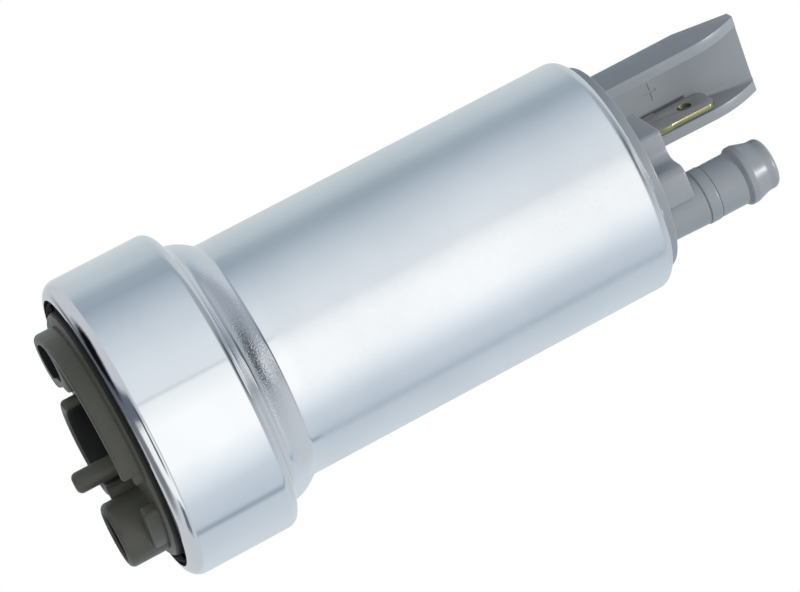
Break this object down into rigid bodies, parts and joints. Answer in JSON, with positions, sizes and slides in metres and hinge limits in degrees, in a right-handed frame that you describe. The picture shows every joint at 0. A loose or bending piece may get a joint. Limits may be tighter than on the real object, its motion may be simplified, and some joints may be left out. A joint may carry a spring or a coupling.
{
  "type": "in-tank fuel pump",
  "caption": "Round electric in-tank fuel pump in a stepped steel can, with a moulded inlet cover, and an outlet cover with hose barb and connector shroud.",
  "frame": {"origin": "on the pump axis, halfway along the straight part of the can that the holder grips", "axes": "+Z along the pump axis towards the outlet; +X towards the open side of the connector shroud; +Y completes a right-handed set, on the side of the outlet barb"},
  "size_m": [0.0496, 0.0496, 0.1276],
  "materials": {
    "can_steel": "bright zinc plating, satin",
    "dark_plastic": "semi-matte moulding",
    "grey_plastic": "semi-matte moulding",
    "seal_rubber": "satin",
    "bright_steel": "ground",
    "core_steel": "oiled",
    "spring_steel": "bright",
    "pump_alloy": "machined",
    "bearing_bronze": "sintered",
    "terminal_brass": "tinned and worn",
    "copper": "enamelled copper",
    "impeller_resin": "moulded",
    "insulator_resin": "coated",
    "moulding_black": "moulded",
    "holder_plastic": "moulded",
    "carbon": "pressed carbon",
    "ferrite": "pressed ferrite"
  },
  "bodies": {
    "housing": {"motor_housing": "can_steel", "inlet_cover": "dark_plastic", "inlet_cover_seal": "seal_rubber", "thrust_button": "bright_steel", "impeller_ring": "pump_alloy", "pump_body": "pump_alloy", "lower_bearing": "bearing_bronze", "flux_ring": "core_steel", "magnet_north": "ferrite", "magnet_south": "ferrite", "magnet_clips": "spring_steel", "brush_holder": "holder_plastic", "upper_bearing": "bearing_bronze", "positive_brush_spring": "spring_steel", "negative_brush_spring": "spring_steel", "positive_brush_lead": "copper", "negative_brush_lead": "copper", "choke_cores": "ferrite", "positive_choke_coil": "copper", "negative_choke_coil": "copper", "positive_terminal": "terminal_brass", "negative_terminal": "terminal_brass", "outlet_cover": "grey_plastic", "outlet_cover_seal": "seal_rubber", "check_valve_seat": "terminal_brass", "check_valve_spring": "spring_steel", "check_valve_guide": "holder_plastic", "relief_valve_seat": "terminal_brass", "relief_valve_spring": "spring_steel"},
    "rotor": {"motor_shaft": "bright_steel", "armature_core": "core_steel", "slot_insulators": "insulator_resin", "armature_windings": "copper", "commutator_hub": "moulding_black", "commutator_bars": "copper", "impeller": "impeller_resin"},
    "check_valve": {"check_valve_poppet": "moulding_black"},
    "relief_ball": {"relief_valve_ball": "bright_steel"},
    "brush_positive": {"positive_brush": "carbon"},
    "brush_negative": {"negative_brush": "carbon"}
  },
  "joints": [
    {"name": "rotor_spin", "type": "hinge", "parent": "housing", "child": "rotor", "pos_m": [0, 0, 0], "axis": [0, 0, 1], "continuous": true},
    {"name": "check_valve_lift", "type": "slide", "parent": "housing", "child": "check_valve", "axis": [0, 0, 1], "range_m": [0, 0.0025], "stiffness_N_per_m": 60, "springref_m": -0.003, "deforming": ["check_valve_spring"]},
    {"name": "relief_ball_lift", "type": "slide", "parent": "housing", "child": "relief_ball", "axis": [0, 0, 1], "range_m": [0, 0.0008], "stiffness_N_per_m": 1500, "springref_m": -0.0016, "deforming": ["relief_valve_spring"]},
    {"name": "positive_brush_slide", "type": "slide", "parent": "housing", "child": "brush_positive", "axis": [0, 0, 1], "range_m": [0, 0.0015], "stiffness_N_per_m": 200, "springref_m": -0.004, "deforming": ["positive_brush_spring", "positive_brush_lead"]},
    {"name": "negative_brush_slide", "type": "slide", "parent": "housing", "child": "brush_negative", "axis": [0, 0, 1], "range_m": [0, 0.0015], "stiffness_N_per_m": 200, "springref_m": -0.004, "deforming": ["negative_brush_spring", "negative_brush_lead"]}
  ]
}
